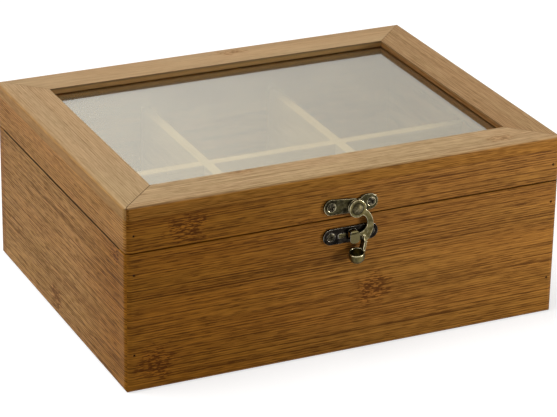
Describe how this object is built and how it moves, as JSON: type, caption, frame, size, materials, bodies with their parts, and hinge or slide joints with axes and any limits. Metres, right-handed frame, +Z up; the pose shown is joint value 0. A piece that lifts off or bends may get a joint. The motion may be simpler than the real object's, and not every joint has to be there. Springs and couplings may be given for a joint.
{
  "type": "tea box",
  "caption": "Hinged bamboo tea box with a hazy window framed in its lid, divided compartments inside and a swing latch on the front.",
  "frame": {"origin": "centre of the underside, on the plane that the box stands on", "axes": "X along the front from left to right, Y from the front with the latch to the back with the hinges, Z up"},
  "size_m": [0.22, 0.1815, 0.091],
  "materials": {
    "bamboo": "caramel carbonised bamboo under a thin satin lacquer, grain along each board",
    "frame_bamboo": "carbonised bamboo strips, satin lacquer",
    "divider_bamboo": "pale sanded bamboo",
    "base_bamboo": "thin bamboo panel, sanded",
    "window": "clear pane with a pale haze",
    "bronze": "antique bronze plating, bright on worn edges",
    "dark_bronze": "dark antique plating, glossy",
    "hinge_bronze": "antique bronze plating",
    "screw_bronze": "dark antique plating, worn on the rims",
    "nail_steel": "dark headless nails set below the surface"
  },
  "bodies": {
    "box": {"base_panel": "base_bamboo", "front_board": "bamboo", "back_board": "bamboo", "left_board": "bamboo", "right_board": "bamboo", "body_nails": "nail_steel", "long_divider": "divider_bamboo", "left_cross_divider": "divider_bamboo", "right_cross_divider": "divider_bamboo", "catch_plate": "dark_bronze", "catch_screws": "screw_bronze", "left_hinge_body_leaf": "hinge_bronze", "right_hinge_body_leaf": "hinge_bronze", "left_hinge_pin": "hinge_bronze", "right_hinge_pin": "hinge_bronze", "hinge_body_screws": "screw_bronze"},
    "lid": {"lid_front_rail": "bamboo", "lid_back_rail": "bamboo", "lid_left_rail": "bamboo", "lid_right_rail": "bamboo", "lid_nails": "nail_steel", "top_frame_front": "frame_bamboo", "top_frame_back": "frame_bamboo", "top_frame_left": "frame_bamboo", "top_frame_right": "frame_bamboo", "window_pane": "window", "left_hinge_lid_leaf": "hinge_bronze", "right_hinge_lid_leaf": "hinge_bronze", "hinge_lid_screws": "screw_bronze", "latch_plate": "bronze", "latch_screws": "screw_bronze", "latch_rivet": "bronze"},
    "hook": {"latch_hook": "bronze"}
  },
  "joints": [
    {"name": "lid_hinge", "type": "hinge", "parent": "box", "child": "lid", "pos_m": [0, 0.08635, 0.0685], "axis": [-1, 0, 0], "range_deg": [0, 180]},
    {"name": "latch_swing", "type": "hinge", "parent": "lid", "child": "hook", "pos_m": [0.0024, -0.084, 0.073], "axis": [0, -1, 0], "range_deg": [0, 120]}
  ]
}
